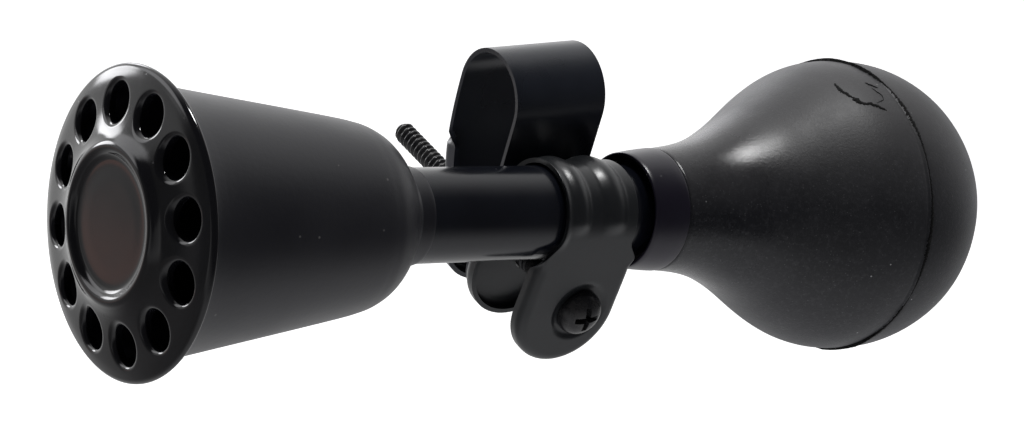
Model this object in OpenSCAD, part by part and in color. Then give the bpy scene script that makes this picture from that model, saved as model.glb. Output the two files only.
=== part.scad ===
// Bicycle bulb horn on a two-strap bracket.
// The horn's axis runs along X, bell at -X and bulb at +X. The clamping screw
// runs along Y. The handlebar strap stands up along Z. The origin is the centre
// of the round seat of the handlebar strap.

/* [Bell] */
// Outside diameter of the bell over the rolled edge of its cover
rim_d = 60; // [57:0.5:62]
// Distance from the clamping screw to the plane of the bell's rim
rim_x = 109.4; // [106:0.2:115]
// Outside diameter of the cone just behind the rim
cone_front_d = 52.2; // [50:0.2:53]
// Outside diameter of the cone where the rear shoulder begins
cone_rear_d = 39.4; // [36:0.2:41]
// Sheet thickness of the bell
bell_wall = 0.8; // [0.6:0.1:1.2]

/* [Front cover] */
// How many sound holes the cover has
hole_count = 12; // [8:1:12]
// Diameter of one sound hole
hole_d = 8.1; // [6:0.1:9]
// Diameter of the circle that the sound holes lie on
hole_circle_d = 45.4; // [44.6:0.2:45.4]
// Diameter of the raised ring round the centre dish
ring_d = 29; // [27:0.5:29.5]
// Sheet thickness of the cover
cover_wall = 0.6; // [0.5:0.1:0.8]

/* [Stem] */
// Outside diameter of the stem tube
stem_d = 19.4; // [18.8:0.1:19.8]
// Wall thickness of the stem tube
stem_wall = 1; // [0.8:0.1:1.2]

/* [Bulb] */
// Diameter of the rubber bulb
bulb_d = 64.3; // [62:0.1:68]
// Distance from the clamping screw to the widest plane of the bulb
bulb_x = 73.8; // [70:0.1:78]
// Wall thickness of the rubber
bulb_wall = 3; // [2.5:0.1:3.5]
// Outside diameter of the cuff round the bulb's neck
cuff_d = 26.4; // [25.8:0.1:27]

/* [Bracket] */
// Sheet thickness of both straps
strap_wall = 1; // [0.8:0.1:1.2]
// Width of the handlebar strap
bar_strap_w = 22.8; // [20:0.2:23]
// Inside diameter of the handlebar strap's round seat
bar_seat_d = 19.1; // [18.6:0.1:20.2]
// Lean of the handlebar strap towards the bell, in degrees
strap_lean = 5.5; // [3:0.5:12]
// Depth of the turned-in edges of the tabs
tab_lip = 3.5; // [2:0.5:3.5]

/* [Screw] */
// Outside diameter of the screw thread
screw_d = 4.8; // [4:0.1:5]
// Length of the screw under its head
screw_len = 72.5; // [64:0.5:74]
// Diameter of the screw head
head_d = 10.2; // [9:0.2:11]
// Width of the nut across its flats
nut_af = 8; // [8:0.5:9]

/* [Hidden] */
$fn = 96;

// Running clearance between the stem and its strap, on the radius
run_gap = 0.07;
// Small gap between faces that bear on each other
bear_gap = 0.05;

stem_r = stem_d / 2;
bore_r = stem_r - stem_wall;
rim_r = rim_d / 2;
ring_r = ring_d / 2;
bulb_r = bulb_d / 2;
cuff_r = cuff_d / 2;

// Screw axis below the horn axis
screw_z = -18.1;
// Stem strap: its inside radius, its outer faces, its length along the stem
band_ri = stem_r + run_gap;
band_ro = band_ri + strap_wall;
band_x0 = -11.9;
band_x1 = 7.1;
// Tabs of the stem strap, near and far: middle, centre of the round end, and
// their half width
near_tab = [-2.3, -18.6];
far_tab = [-3, -18.1];
tab_hw = 12.4;
// Handlebar strap: inside and outside radius of its seat, middle of the strap
// and height of the seat from the screw, position across
seat_ri = bar_seat_d / 2;
seat_ro = seat_ri + strap_wall;
seat_x = 0.25;
seat_h = 33;
front_y = 12.5;
seat_y = front_y + seat_ro;
back_y = seat_y + seat_ro;
tab3_y = band_ro + bear_gap;
tab4_y = 26.6;
// Half width of its tabs and how far their round ends reach below the screw
bar_tab_hw = bar_strap_w / 2 + 0.7;
bar_tab_end = -1.8;
// The seat's centre, which is the origin of the part
ORIGIN = [seat_x * cos(strap_lean) - seat_h * sin(strap_lean), seat_y, screw_z + seat_x * sin(strap_lean) + seat_h * cos(strap_lean)];

cuff_x0 = 10.9;
cuff_x1 = 19.6;
// Plane of the mould line, where the two halves of the bulb meet
mould_x = bulb_x - 2;
stem_x0 = -50;
stem_x1 = 33;

// ---- helpers ----

function bez(a, b, c, d, n) = [for (i = [0:n]) let (u = i / n, v = 1 - u)
    a * v * v * v + b * 3 * v * v * u + c * 3 * v * u * u + d * u * u * u];
function unit(v) = v / norm(v);
function dir_at(p, i) = unit(p[min(i + 1, len(p) - 1)] - p[max(i - 1, 0)]);
// The path moved sideways by d, to its left
function aside(p, d) = [for (i = [0:len(p) - 1]) let (t = dir_at(p, i)) p[i] + d * [-t[1], t[0]]];
function back_to_front(p) = [for (i = [len(p) - 1:-1:0]) p[i]];

// Everything is drawn about the horn axis and then moved so that the origin is
// the centre of the handlebar seat
module placed() { translate(-ORIGIN) children(); }
// A solid of revolution about the horn axis, from points [x, r]
module turned(p) {
    rotate([0, 90, 0]) rotate_extrude($fn = 120) polygon([for (q = p) [q[1], q[0]]]);
}
// A cylinder along X from x0 to x1
module bar_x(x0, x1, r, y = 0, z = 0) {
    translate([x0, y, z]) rotate([0, 90, 0]) cylinder(r = r, h = x1 - x0);
}
// A cylinder along Y from y0 to y1 at the screw axis
module bar_y(y0, y1, r, x = 0, z = 0) {
    translate([x, y0, z]) rotate([-90, 0, 0]) cylinder(r = r, h = y1 - y0);
}

// ---- bell ----

// Outer line of the bell from its rim to the end of its neck
shoulder_x = -62.6;
bell_line = concat(
    bez([-rim_x + 0.72, rim_r - 2.4], [-rim_x + 2, cone_front_d / 2 + 0.7], [-rim_x + 3.8, cone_front_d / 2 + 0.3], [-rim_x + 7, cone_front_d / 2 - 0.3], 6),
    bez([shoulder_x, cone_rear_d / 2], [-55.9, cone_rear_d / 2 - 1.6], [-55.8, cone_rear_d / 2 - 1], [-50.4, 13.4], 7),
    bez([-50, 13], [-48.6, 11.6], [-47.4, 10.7], [-45.8, stem_r + 0.4], 5));

module bell_shell() {
    line = bell_line;
    inner = aside(line, -bell_wall);
    color([0.07, 0.07, 0.08]) placed() {
        difference() {
            turned(concat([[-45.8, 0]], back_to_front(line), [[-rim_x + 0.72, 0]]));
            turned(concat([[-46.8, 0]], back_to_front([for (q = inner) if (q[0] < -46.8) q]), [[-rim_x - 3, rim_r - 3.2], [-rim_x - 3, 0]]));
            bar_x(-60, -40, stem_r + 0.02);
        }
        // flat flange that the cover is rolled over
        difference() {
            bar_x(-rim_x + 0.05, -rim_x + 0.72, rim_r - 1.25);
            bar_x(-rim_x - 1, -rim_x + 3, rim_r - 3.2);
        }
        // neck that grips the stem
        difference() {
            bar_x(-47.5, -44.8, stem_r + 0.4);
            bar_x(-48, -44, stem_r + 0.02);
        }
    }
}

// Front line of the cover, from the rolled edge to the centre, as [x, r]
cover_line = concat(
    [[-rim_x + 1.35, rim_r - 2.2], [-rim_x + 1.4, rim_r - 0.9], [-rim_x + 1.1, rim_r - 0.3], [-rim_x + 0.45, rim_r], [-rim_x - 0.15, rim_r - 0.15], [-rim_x - 0.55, rim_r - 0.75], [-rim_x - 0.75, rim_r - 1.4]],
    bez([-rim_x - 1, rim_r - 2.6], [-rim_x - 1.7, rim_r - 6], [-rim_x - 2.2, ring_r + 5.4], [-rim_x - 3.1, ring_r + 2.6], 6),
    bez([-rim_x - 3.4, ring_r + 1.9], [-rim_x - 4, ring_r + 1.1], [-rim_x - 4.65, ring_r + 0.7], [-rim_x - 4.65, ring_r], 4),
    bez([-rim_x - 4.6, ring_r - 0.5], [-rim_x - 4.45, ring_r - 1.1], [-rim_x - 3.55, ring_r - 1.4], [-rim_x - 3.5, ring_r - 2.4], 4));

module grille_cover() {
    inner = aside(cover_line, cover_wall);
    color([0.05, 0.05, 0.055]) placed() difference() {
        turned(concat(cover_line, [[-rim_x - 3.5, 0], [-rim_x - 3.5 + cover_wall, 0]], back_to_front(inner)));
        for (k = [0:hole_count - 1]) let (w = 26.4 + 360 / hole_count * k)
            bar_x(-rim_x - 8, -rim_x + 0.5, hole_d / 2, hole_circle_d / 2 * cos(w), hole_circle_d / 2 * sin(w));
    }
}

// ---- stem and reed ----

module stem_tube() {
    color([0.08, 0.08, 0.09]) placed() difference() {
        bar_x(stem_x0, stem_x1, stem_r);
        bar_x(stem_x0 - 1, stem_x1 + 1, bore_r);
    }
}

reed_r = 3.4;      // radius of the shallot
reed_flat = 0.8;   // height of its flat face above the horn axis
reed_x0 = 26;
reed_x1 = 57;
sock_x1 = 35;      // mouth of the socket in the holder

module reed_holder() {
    color([0.72, 0.58, 0.3]) placed() difference() {
        union() {
            bar_x(20, stem_x1 + 0.05, bore_r - 0.02);
            bar_x(stem_x1 + 0.05, sock_x1, stem_r - 0.1);
        }
        bar_x(reed_x0, sock_x1 + 1, reed_r + 0.02);
        bar_x(19, reed_x0 + 1, 2.4);
    }
}

module reed_shallot() {
    color([0.75, 0.6, 0.32]) placed() difference() {
        bar_x(reed_x0, reed_x1, reed_r);
        translate([reed_x0 - 1, -5, reed_flat]) cube([reed_x1 - reed_x0 + 2, 10, 5]);
        // channel under the tongue, open to the stem and closed at its tip
        bar_x(reed_x0 - 1, reed_x1 - 2.5, 1.9, 0, -0.7);
        translate([sock_x1 + 2, -1.5, 0]) cube([reed_x1 - 2.5 - sock_x1 - 2, 3, 2]);
    }
}

module reed_tongue() {
    // a flat root, and a blade that stands a little off the shallot at its tip
    color([0.8, 0.66, 0.36]) placed() translate([0, 2.4, 0]) rotate([90, 0, 0])
        linear_extrude(4.8) polygon([[sock_x1 - 3, reed_flat + 0.14], [sock_x1 + 1, reed_flat + 0.14], [sock_x1 + 8, reed_flat + 0.4], [reed_x1 - 1, reed_flat + 1.2], [reed_x1 - 1, reed_flat + 1.5], [sock_x1 + 8, reed_flat + 0.7], [sock_x1 + 1, reed_flat + 0.44], [sock_x1 - 3, reed_flat + 0.44]]);
}

module reed_wedge() {
    color([0.7, 0.55, 0.28]) placed() difference() {
        bar_x(reed_x0, sock_x1 - 0.1, reed_r - 0.02);
        translate([reed_x0 - 1, -5, -5 + reed_flat + 0.02]) cube([6, 10, 5]);
        translate([reed_x0 + 4.9, -5, -5 + reed_flat + 0.58]) cube([6, 10, 5]);
        translate([reed_x0 - 1, -5, -10 + reed_flat]) cube([12, 10, 10]);
    }
}

// ---- bulb ----

module bulb_cuff() {
    color([0.09, 0.09, 0.1]) placed() difference() {
        turned([[cuff_x0, 0], [cuff_x0, cuff_r - 1.15], [cuff_x0 + 0.25, cuff_r - 0.9], [cuff_x0 + 4, cuff_r - 0.45], [cuff_x1, cuff_r - 0.05], [cuff_x1, 0]]);
        bar_x(cuff_x0 - 1, cuff_x1 + 1, cuff_r - 1.6);
    }
}

// Outer line of the bulb from the cuff to its widest plane
bulb_line = bez([cuff_x1 + 0.05, cuff_r - 0.1], [cuff_x1 + 28, cuff_r + 1.45], [bulb_x - 22.6, bulb_r], [bulb_x, bulb_r], 24);

module bulb_front_half() {
    inner = [for (q = aside(bulb_line, -bulb_wall)) if (q[0] > sock_x1 + 4 && q[0] < mould_x - 0.3) q];
    color([0.13, 0.13, 0.14]) placed() difference() {
        union() {
            turned(concat([[cuff_x1 + 0.05, 0]], [for (q = bulb_line) if (q[0] < mould_x - 0.3) q], [[mould_x, bulb_r], [mould_x, 0]]));
            bar_x(13.6, cuff_x1 + 1, cuff_r - 1.62);
        }
        bar_x(12, sock_x1 + 3, stem_r + 0.02);
        turned(concat([[sock_x1 + 1, 0], [sock_x1 + 1, stem_r + 0.6]], inner, [[mould_x + 1, bulb_r - bulb_wall], [mould_x + 1, 0]]));
    }
}

module bulb_rear_half() {
    back = bulb_x - mould_x;
    color([0.13, 0.13, 0.14]) placed() translate([bulb_x + 0.02, 0, 0])
        rotate([0, 90, 0]) rotate_extrude($fn = 120) {
            difference() {
                intersection() { circle(r = bulb_r, $fn = 120); square(bulb_r + 1); }
                circle(r = bulb_r - bulb_wall, $fn = 120);
            }
            translate([bulb_r - bulb_wall, -back]) square([bulb_wall, back]);
            // raised mould line
            translate([bulb_r - 1, -back]) square([1.7, 0.7]);
        }
}

// ---- bracket ----

// Outline of a tab seen along the screw: straight sides and a round end
module tab_outline(x, hw, z_top, z_end) {
    translate([x - hw, z_end]) square([2 * hw, z_top - z_end]);
    translate([x, z_end]) circle(r = hw);
}
// A tab plate between y0 and y1
module tab_plate(y0, y1, x, hw, z_top, z_end) {
    translate([0, y1, 0]) rotate([90, 0, 0]) linear_extrude(y1 - y0) tab_outline(x, hw, z_top, z_end);
}
// The turned-in edge of a tab
module tab_rim(y0, y1, x, hw, z_top, z_end) {
    difference() {
        tab_plate(y0, y1, x, hw, z_top, z_end);
        tab_plate(y0 - 1, y1 + 1, x, hw - strap_wall, z_top + 1, z_end);
    }
}
// A raised rib round the stem strap, between two places along it
module band_rib(x0, x1, h) {
    m = (x0 + x1) / 2;
    w = x1 - x0;
    difference() {
        turned([[x0, band_ro - 0.5], [x0, band_ro], [x0 + 0.2 * w, band_ro + 0.55 * h], [m - 0.14 * w, band_ro + 0.93 * h], [m, band_ro + h], [m + 0.14 * w, band_ro + 0.93 * h], [x1 - 0.2 * w, band_ro + 0.55 * h], [x1, band_ro], [x1, band_ro - 0.5]]);
        translate([x0 - 1, -20, -40]) cube([w + 2, 40, 40]);
    }
}

dish_r = 6.9;      // pressed dish round the screw head
dish_h = 0.6;

module stem_strap() {
    color([0.12, 0.13, 0.12]) placed() {
        difference() {
            union() {
                // half ring over the stem
                difference() {
                    bar_x(band_x0, band_x1, band_ro);
                    translate([band_x0 - 1, -20, -40]) cube([band_x1 - band_x0 + 2, 40, 40]);
                }
                band_rib(-11.2, -5.3, 0.85);
                band_rib(-2.2, 4.5, 0.85);
                // the two tabs
                for (s = [-1, 1]) {
                    y0 = s < 0 ? -band_ro : band_ri;
                    tab = s < 0 ? near_tab : far_tab;
                    translate([band_x0, y0, -9]) cube([band_x1 - band_x0, strap_wall, 9.01]);
                    tab_plate(y0, y0 + strap_wall, tab[0], tab_hw, -4.5, tab[1]);
                    tab_rim(s < 0 ? -band_ro : band_ro - tab_lip, s < 0 ? -band_ro + tab_lip : band_ro, tab[0], tab_hw, -8.5, tab[1]);
                }
            }
            bar_x(band_x0 - 5, band_x1 + 5, band_ri);
            bar_y(-band_ro - 1, -band_ro + strap_wall + 0.01, dish_r - 0.05, 0, screw_z);
            bar_y(0, band_ro + 2, screw_d / 2 + 0.3, 0, screw_z);
        }
        // dish under the screw head
        translate([0, -band_ro, screw_z]) rotate([-90, 0, 0]) rotate_extrude()
            polygon([[screw_d / 2 + 0.3, dish_h], [dish_r - 1.1, dish_h], [dish_r, 0], [dish_r, strap_wall], [dish_r - 0.9, dish_h + strap_wall], [screw_d / 2 + 0.3, dish_h + strap_wall]]);
    }
}

// Middle line of the strap's front leg, from its tab up to the seat, as [y, h]
front_leg = [[tab3_y + strap_wall / 2, 0], [tab3_y + strap_wall / 2, 6], [tab3_y + strap_wall / 2, 6.5], [tab3_y + strap_wall / 2 + 0.3, 8], [front_y + strap_wall / 2 - 0.3, 12], [front_y + strap_wall / 2, 13.5], [front_y + strap_wall / 2, 14], [front_y + strap_wall / 2, seat_h]];
// Middle line of the back leg
back_leg = [[tab4_y - strap_wall / 2, 0], [tab4_y - strap_wall / 2, 4.4], [tab4_y - strap_wall / 2, 4.9], [tab4_y - strap_wall / 2 + 0.6, 6.4], [tab4_y + 2.9, 9.6], [back_y - strap_wall / 2 - 1.3, 16.5], [back_y - strap_wall / 2 - 0.4, 22.5], [back_y - strap_wall / 2, 28], [back_y - strap_wall / 2, 28.5], [back_y - strap_wall / 2, seat_h]];

// A strip that follows the first n points of a line, between two offsets to its
// left and two places across
module strip(line, d0, d1, x0, x1, n = 99) {
    left = aside(line, d1);
    right = aside(line, d0);
    last = min(n, len(line)) - 1;
    translate([x0, 0, 0]) rotate([90, 0, 90]) linear_extrude(x1 - x0)
        polygon(concat([for (i = [0:last]) left[i]], [for (i = [last:-1:0]) right[i]]));
}

module handlebar_strap() {
    hw = bar_strap_w / 2;
    th = bar_tab_hw;
    w = strap_wall / 2;
    color([0.11, 0.11, 0.14]) placed() translate([0, 0, screw_z]) rotate([0, -strap_lean, 0]) {
        difference() {
            translate([seat_x, 0, 0]) {
                strip(front_leg, -w, w, -hw, hw);
                strip(back_leg, -w, w, -hw, hw);
                // round seat, a half ring
                difference() {
                    bar_x(-hw, hw, seat_ro, seat_y, seat_h);
                    bar_x(-hw - 1, hw + 1, seat_ri, seat_y, seat_h);
                    translate([-hw - 1, seat_y - 20, seat_h - 40]) cube([2 * hw + 2, 40, 40]);
                }
                // inside the sheet, where a leg runs into the ring
                for (y = [front_y, back_y - strap_wall])
                    translate([0.3 - hw, y + 0.25, seat_h - 0.8]) cube([2 * hw - 0.6, strap_wall - 0.5, 1.6]);
                // the two tabs, and their turned-in edges, which run up the back leg
                tab_plate(tab3_y, tab3_y + strap_wall, 0, th, 5.6, bar_tab_end);
                tab_rim(tab3_y, tab3_y + tab_lip, 0, th, 5.6, bar_tab_end);
                tab_plate(tab4_y - strap_wall, tab4_y, 0, th, 3.6, bar_tab_end);
                tab_rim(tab4_y - tab_lip, tab4_y, 0, th, 2.5, bar_tab_end);
                for (x = [-th, th - strap_wall])
                    strip(back_leg, -w, tab_lip - w, x, x + strap_wall, 6);
            }
            bar_y(tab3_y - 1, tab4_y + 1, screw_d / 2 + 0.3);
        }
    }
}

// ---- screw and nut ----

head_h = 4;
seat_face = -band_ro + dish_h - bear_gap;

module clamp_screw() {
    hr = head_d / 2;
    color([0.06, 0.06, 0.065]) placed() translate([0, 0, screw_z]) {
        difference() {
            translate([0, seat_face, 0]) rotate([90, 0, 0]) rotate_extrude()
                polygon([[0, 0], [hr, 0], [hr, 1.3], [hr - 0.35, 2.2], [hr - 1.1, 3], [hr - 2.2, 3.5], [hr - 3.5, 3.85], [0, head_h]]);
            // cross recess
            for (a = [0, 90]) rotate([0, a, 0]) translate([-3.1, seat_face - head_h - 1, -0.55]) cube([6.2, 3, 1.1]);
        }
        bar_y(seat_face, seat_face + screw_len - 0.8, screw_d / 2);
        translate([0, seat_face + screw_len - 0.8, 0]) rotate([-90, 0, 0]) cylinder(r1 = screw_d / 2, r2 = screw_d / 2 - 0.8, h = 0.8);
    }
}

module clamp_nut() {
    color([0.1, 0.1, 0.1]) placed() translate([0, tab4_y + bear_gap, screw_z]) rotate([-90, 0, 0]) difference() {
        intersection() {
            cylinder(r = nut_af / 2 / cos(30), h = 4, $fn = 6);
            // bevelled corners
            rotate_extrude() polygon([[0, 0], [nut_af / 2, 0], [nut_af / 2 / cos(30) + 0.05, 0.4], [nut_af / 2 / cos(30) + 0.05, 3.6], [nut_af / 2, 4], [0, 4]]);
        }
        translate([0, 0, -1]) cylinder(r = screw_d / 2 + 0.06, h = 6);
    }
}

bell_shell();
grille_cover();
stem_tube();
reed_holder();
reed_shallot();
reed_tongue();
reed_wedge();
bulb_cuff();
bulb_front_half();
bulb_rear_half();
stem_strap();
handlebar_strap();
clamp_screw();
clamp_nut();
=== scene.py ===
import math
import random

import bmesh
import bpy
from mathutils import Matrix, Vector, noise


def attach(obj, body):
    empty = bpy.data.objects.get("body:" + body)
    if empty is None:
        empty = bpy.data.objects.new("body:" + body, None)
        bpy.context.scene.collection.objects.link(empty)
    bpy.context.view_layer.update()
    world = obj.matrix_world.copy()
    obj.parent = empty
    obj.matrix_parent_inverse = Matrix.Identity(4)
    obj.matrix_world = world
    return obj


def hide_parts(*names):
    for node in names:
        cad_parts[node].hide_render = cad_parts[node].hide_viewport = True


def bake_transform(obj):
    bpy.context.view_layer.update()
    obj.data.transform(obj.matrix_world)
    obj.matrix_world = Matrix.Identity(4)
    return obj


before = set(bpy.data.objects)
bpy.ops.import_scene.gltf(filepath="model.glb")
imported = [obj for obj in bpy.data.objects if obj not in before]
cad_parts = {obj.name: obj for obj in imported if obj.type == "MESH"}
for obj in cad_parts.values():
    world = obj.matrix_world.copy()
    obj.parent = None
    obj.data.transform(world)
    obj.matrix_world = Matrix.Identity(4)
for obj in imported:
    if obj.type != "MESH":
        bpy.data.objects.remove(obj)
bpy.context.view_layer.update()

# Everything below is measured in millimetres about the horn's axis (X from bell
# to bulb, Y along the clamping screw, Z up) and is moved into the row frame by
# at(), whose origin is the centre of the handlebar strap's seat.
LEAN = math.radians(5.5)
SCREW_Z = -18.1
SEAT_X, SEAT_Y, SEAT_H, SEAT_RO = 0.25, 23.05, 33.0, 10.55
ORIGIN = Vector((SEAT_X * math.cos(LEAN) - SEAT_H * math.sin(LEAN), SEAT_Y, SCREW_Z + SEAT_X * math.sin(LEAN) + SEAT_H * math.cos(LEAN)))


def at(p):
    return (Vector(p) - ORIGIN) / 1000.0


def leaning(x, y, h):
    """A point of the handlebar strap, from its own upright frame at the screw."""
    return Vector((x * math.cos(LEAN) - h * math.sin(LEAN), y, SCREW_Z + x * math.sin(LEAN) + h * math.cos(LEAN)))


# ---------------------------------------------------------------- camera

cam_data = bpy.data.cameras.new("camera")
cam_data.sensor_fit = "HORIZONTAL"
cam_data.sensor_width = 36.0
cam_data.lens = 105.51
cam_data.clip_start = 0.01
cam_data.clip_end = 100.0
cam = bpy.data.objects.new("camera", cam_data)
bpy.context.scene.collection.objects.link(cam)
cam.rotation_mode = "QUATERNION"
cam.location = (-0.39763, -0.42508, 0.25324)
cam.rotation_quaternion = (0.830489, 0.449585, -0.283628, -0.166484)
bpy.context.scene.camera = cam

# ---------------------------------------------------------------- materials


class Nodes:
    """Shorthand for building one node tree."""

    def __init__(self, name):
        self.mat = bpy.data.materials.new(name)
        self.mat.use_nodes = True
        self.tree = self.mat.node_tree
        self.tree.nodes.clear()
        self.out = self.add("ShaderNodeOutputMaterial")
        self.bsdf = self.add("ShaderNodeBsdfPrincipled")
        self.link(self.bsdf.outputs["BSDF"], self.out.inputs["Surface"])
        self.coord = self.add("ShaderNodeTexCoord").outputs["Object"]

    def add(self, kind, **settings):
        n = self.tree.nodes.new(kind)
        for k, v in settings.items():
            setattr(n, k, v)
        return n

    def link(self, a, b):
        self.tree.links.new(a, b)

    def noise(self, scale, detail=4.0, rough=0.55, vector=None, distortion=0.0):
        n = self.add("ShaderNodeTexNoise")
        n.inputs["Scale"].default_value = scale
        n.inputs["Detail"].default_value = detail
        n.inputs["Roughness"].default_value = rough
        n.inputs["Distortion"].default_value = distortion
        self.link(vector or self.coord, n.inputs["Vector"])
        return n.outputs["Fac"]

    def ramp(self, fac, stops):
        r = self.add("ShaderNodeValToRGB")
        while len(r.color_ramp.elements) < len(stops):
            r.color_ramp.elements.new(0.5)
        for e, (pos, col) in zip(r.color_ramp.elements, stops):
            e.position = pos
            e.color = (*col, 1.0) if len(col) == 3 else col
        self.link(fac, r.inputs["Fac"])
        return r.outputs["Color"]

    def grey(self, fac, a, b, lo=0.0, hi=1.0):
        """fac from lo..hi mapped to a..b, as a number."""
        m = self.add("ShaderNodeMapRange")
        m.inputs["From Min"].default_value = lo
        m.inputs["From Max"].default_value = hi
        m.inputs["To Min"].default_value = a
        m.inputs["To Max"].default_value = b
        self.link(fac, m.inputs["Value"])
        return m.outputs["Result"]

    def mix(self, fac, a, b):
        m = self.add("ShaderNodeMix", data_type="RGBA")
        if isinstance(fac, (int, float)):
            m.inputs["Factor"].default_value = fac
        else:
            self.link(fac, m.inputs["Factor"])
        for value, socket in ((a, m.inputs["A"]), (b, m.inputs["B"])):
            if isinstance(value, tuple):
                socket.default_value = (*value, 1.0)
            else:
                self.link(value, socket)
        return m.outputs["Result"]

    def math(self, op, a, b=None):
        m = self.add("ShaderNodeMath", operation=op)
        for i, value in enumerate((a, b)):
            if value is None:
                continue
            if isinstance(value, (int, float)):
                m.inputs[i].default_value = value
            else:
                self.link(value, m.inputs[i])
        return m.outputs["Value"]

    def bump(self, height, distance, strength=1.0, normal=None):
        b = self.add("ShaderNodeBump")
        b.inputs["Distance"].default_value = distance
        b.inputs["Strength"].default_value = strength
        self.link(height, b.inputs["Height"])
        if normal is not None:
            self.link(normal, b.inputs["Normal"])
        return b.outputs["Normal"]

    def specks(self, scale, size, seed=0.0, rare=0.72):
        """1 on small scattered round specks, 0 elsewhere."""
        shift = self.add("ShaderNodeMapping")
        shift.inputs["Location"].default_value = (seed, seed * 0.7, seed * 1.3)
        self.link(self.coord, shift.inputs["Vector"])
        v = self.add("ShaderNodeTexVoronoi", feature="F1")
        v.inputs["Scale"].default_value = scale
        self.link(shift.outputs["Vector"], v.inputs["Vector"])
        near = self.math("LESS_THAN", v.outputs["Distance"], size)
        pick = self.add("ShaderNodeSeparateColor")
        self.link(v.outputs["Color"], pick.inputs["Color"])
        some = self.math("GREATER_THAN", pick.outputs["Red"], rare)
        return self.math("MULTIPLY", near, some)


def paint(name, base, tint, rough, spec, grain, speck_amount, coat=0.0):
    """Black enamel on pressed metal: orange peel, faint dust, uneven gloss."""
    n = Nodes(name)
    cloud = n.noise(55.0, 3.0)
    colour = n.mix(n.grey(cloud, 0.0, 1.0, 0.35, 0.7), base, tint)
    dust = n.specks(420.0, 0.12, 3.1, 0.93)
    haze = n.grey(n.noise(28.0, 5.0, 0.7), 0.0, 1.0, 0.5, 0.75)
    colour = n.mix(n.math("MULTIPLY", dust, speck_amount), colour, (0.30, 0.29, 0.28))
    n.link(colour, n.bsdf.inputs["Base Color"])
    rough_out = n.math("ADD", n.grey(cloud, rough - 0.03, rough + 0.04, 0.3, 0.7), n.math("MULTIPLY", haze, 0.03))
    n.link(n.math("ADD", rough_out, n.math("MULTIPLY", dust, 0.2)), n.bsdf.inputs["Roughness"])
    peel = n.noise(900.0, 2.0, 0.5)
    fine = n.noise(3800.0, 2.0, 0.6)
    h = n.math("ADD", n.math("MULTIPLY", peel, 0.6), n.math("MULTIPLY", fine, 0.4))
    n.link(n.bump(h, grain), n.bsdf.inputs["Normal"])
    n.bsdf.inputs["Specular IOR Level"].default_value = spec
    if coat:
        n.bsdf.inputs["Coat Weight"].default_value = coat
        n.bsdf.inputs["Coat Roughness"].default_value = 0.08
    return n.mat


M_BELL = paint("satin_black_enamel", (0.0065, 0.0065, 0.0095), (0.009, 0.009, 0.0125), 0.36, 0.5, 0.00003, 0.25)
M_COVER = paint("gloss_black_enamel", (0.0035, 0.0035, 0.0045), (0.005, 0.005, 0.0065), 0.10, 0.5, 0.000005, 0.0)
M_STEM = paint("stem_black_enamel", (0.003, 0.0035, 0.006), (0.0045, 0.0055, 0.009), 0.2, 0.5, 0.00001, 0.0)
M_CUFF = paint("cuff_black_enamel", (0.007, 0.0055, 0.012), (0.010, 0.008, 0.016), 0.3, 0.5, 0.00002, 0.0)
M_STRAP = paint("strap_black_enamel", (0.010, 0.011, 0.0125), (0.015, 0.0165, 0.018), 0.32, 0.5, 0.00003, 0.12)
M_LOOP = paint("loop_blue_black_enamel", (0.008, 0.010, 0.015), (0.012, 0.014, 0.021), 0.28, 0.5, 0.00002, 0.12)


def screw_finish():
    n = Nodes("black_oxide_steel")
    cloud = n.noise(300.0, 4.0, 0.6)
    colour = n.mix(n.grey(cloud, 0.0, 1.0, 0.4, 0.65), (0.014, 0.014, 0.016), (0.034, 0.033, 0.033))
    n.link(colour, n.bsdf.inputs["Base Color"])
    n.link(n.grey(cloud, 0.2, 0.32, 0.3, 0.7), n.bsdf.inputs["Roughness"])
    n.bsdf.inputs["Metallic"].default_value = 0.35
    n.link(n.bump(n.noise(2600.0, 3.0), 0.00002), n.bsdf.inputs["Normal"])
    return n.mat


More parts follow.
